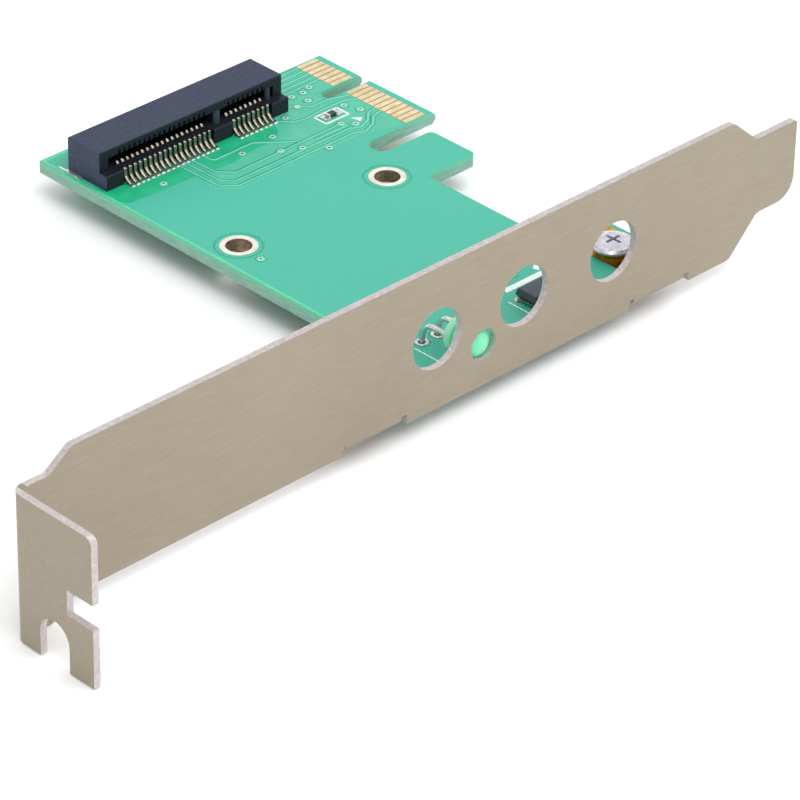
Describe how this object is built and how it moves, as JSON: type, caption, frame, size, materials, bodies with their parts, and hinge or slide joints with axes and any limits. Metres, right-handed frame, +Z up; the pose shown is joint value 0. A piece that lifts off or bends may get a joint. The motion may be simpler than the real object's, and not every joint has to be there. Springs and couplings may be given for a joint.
{
  "type": "pcie adapter card",
  "caption": "Adapter card with a mini card socket on a slot bracket, with round antenna openings and an edge connector.",
  "frame": {"origin": "centre of the bounding box's bottom: midway along the bracket and at the flange's lowest edge", "axes": "+X along the bracket from its screw flange to its tongue, +Y from the bracket's outer face into the board, +Z up out of the component side"},
  "size_m": [0.12, 0.0814, 0.0207],
  "materials": {
    "nickel_steel": "satin nickel plate",
    "board_green": "solder mask over copper",
    "gold_plate": "thin gold plate",
    "socket_plastic": "moulded, fine texture",
    "contact_metal": "tin plate",
    "lens_plastic": "clear tinted plastic",
    "solder": "bright tin",
    "moulded_plastic": "moulded, matt",
    "chip_ceramic": "glazed ceramic",
    "capacitor_ceramic": "fired ceramic",
    "screw_steel": "bright zinc plate"
  },
  "bodies": {
    "root": {"slot_bracket": "nickel_steel", "circuit_board": "board_green", "edge_fingers_top": "gold_plate", "edge_fingers_bottom": "gold_plate", "card_hole_platings": "gold_plate", "socket_housing": "socket_plastic", "socket_contacts_lower": "contact_metal", "socket_contacts_upper": "contact_metal", "socket_hold_down_left": "contact_metal", "socket_hold_down_right": "contact_metal", "lamp_lens": "lens_plastic", "lamp_lead_left": "contact_metal", "lamp_lead_right": "contact_metal", "lamp_solder_joints": "solder", "capacitor_body": "moulded_plastic", "capacitor_terminals": "contact_metal", "signal_resistor_body": "chip_ceramic", "signal_resistor_caps": "solder", "lamp_resistor_body": "chip_ceramic", "lamp_resistor_caps": "solder", "supply_capacitor_bodies": "capacitor_ceramic", "supply_capacitor_caps": "solder", "regulator_body": "moulded_plastic", "regulator_leads": "contact_metal", "regulator_tab": "contact_metal", "tab_screws": "screw_steel"}
  },
  "joints": []
}
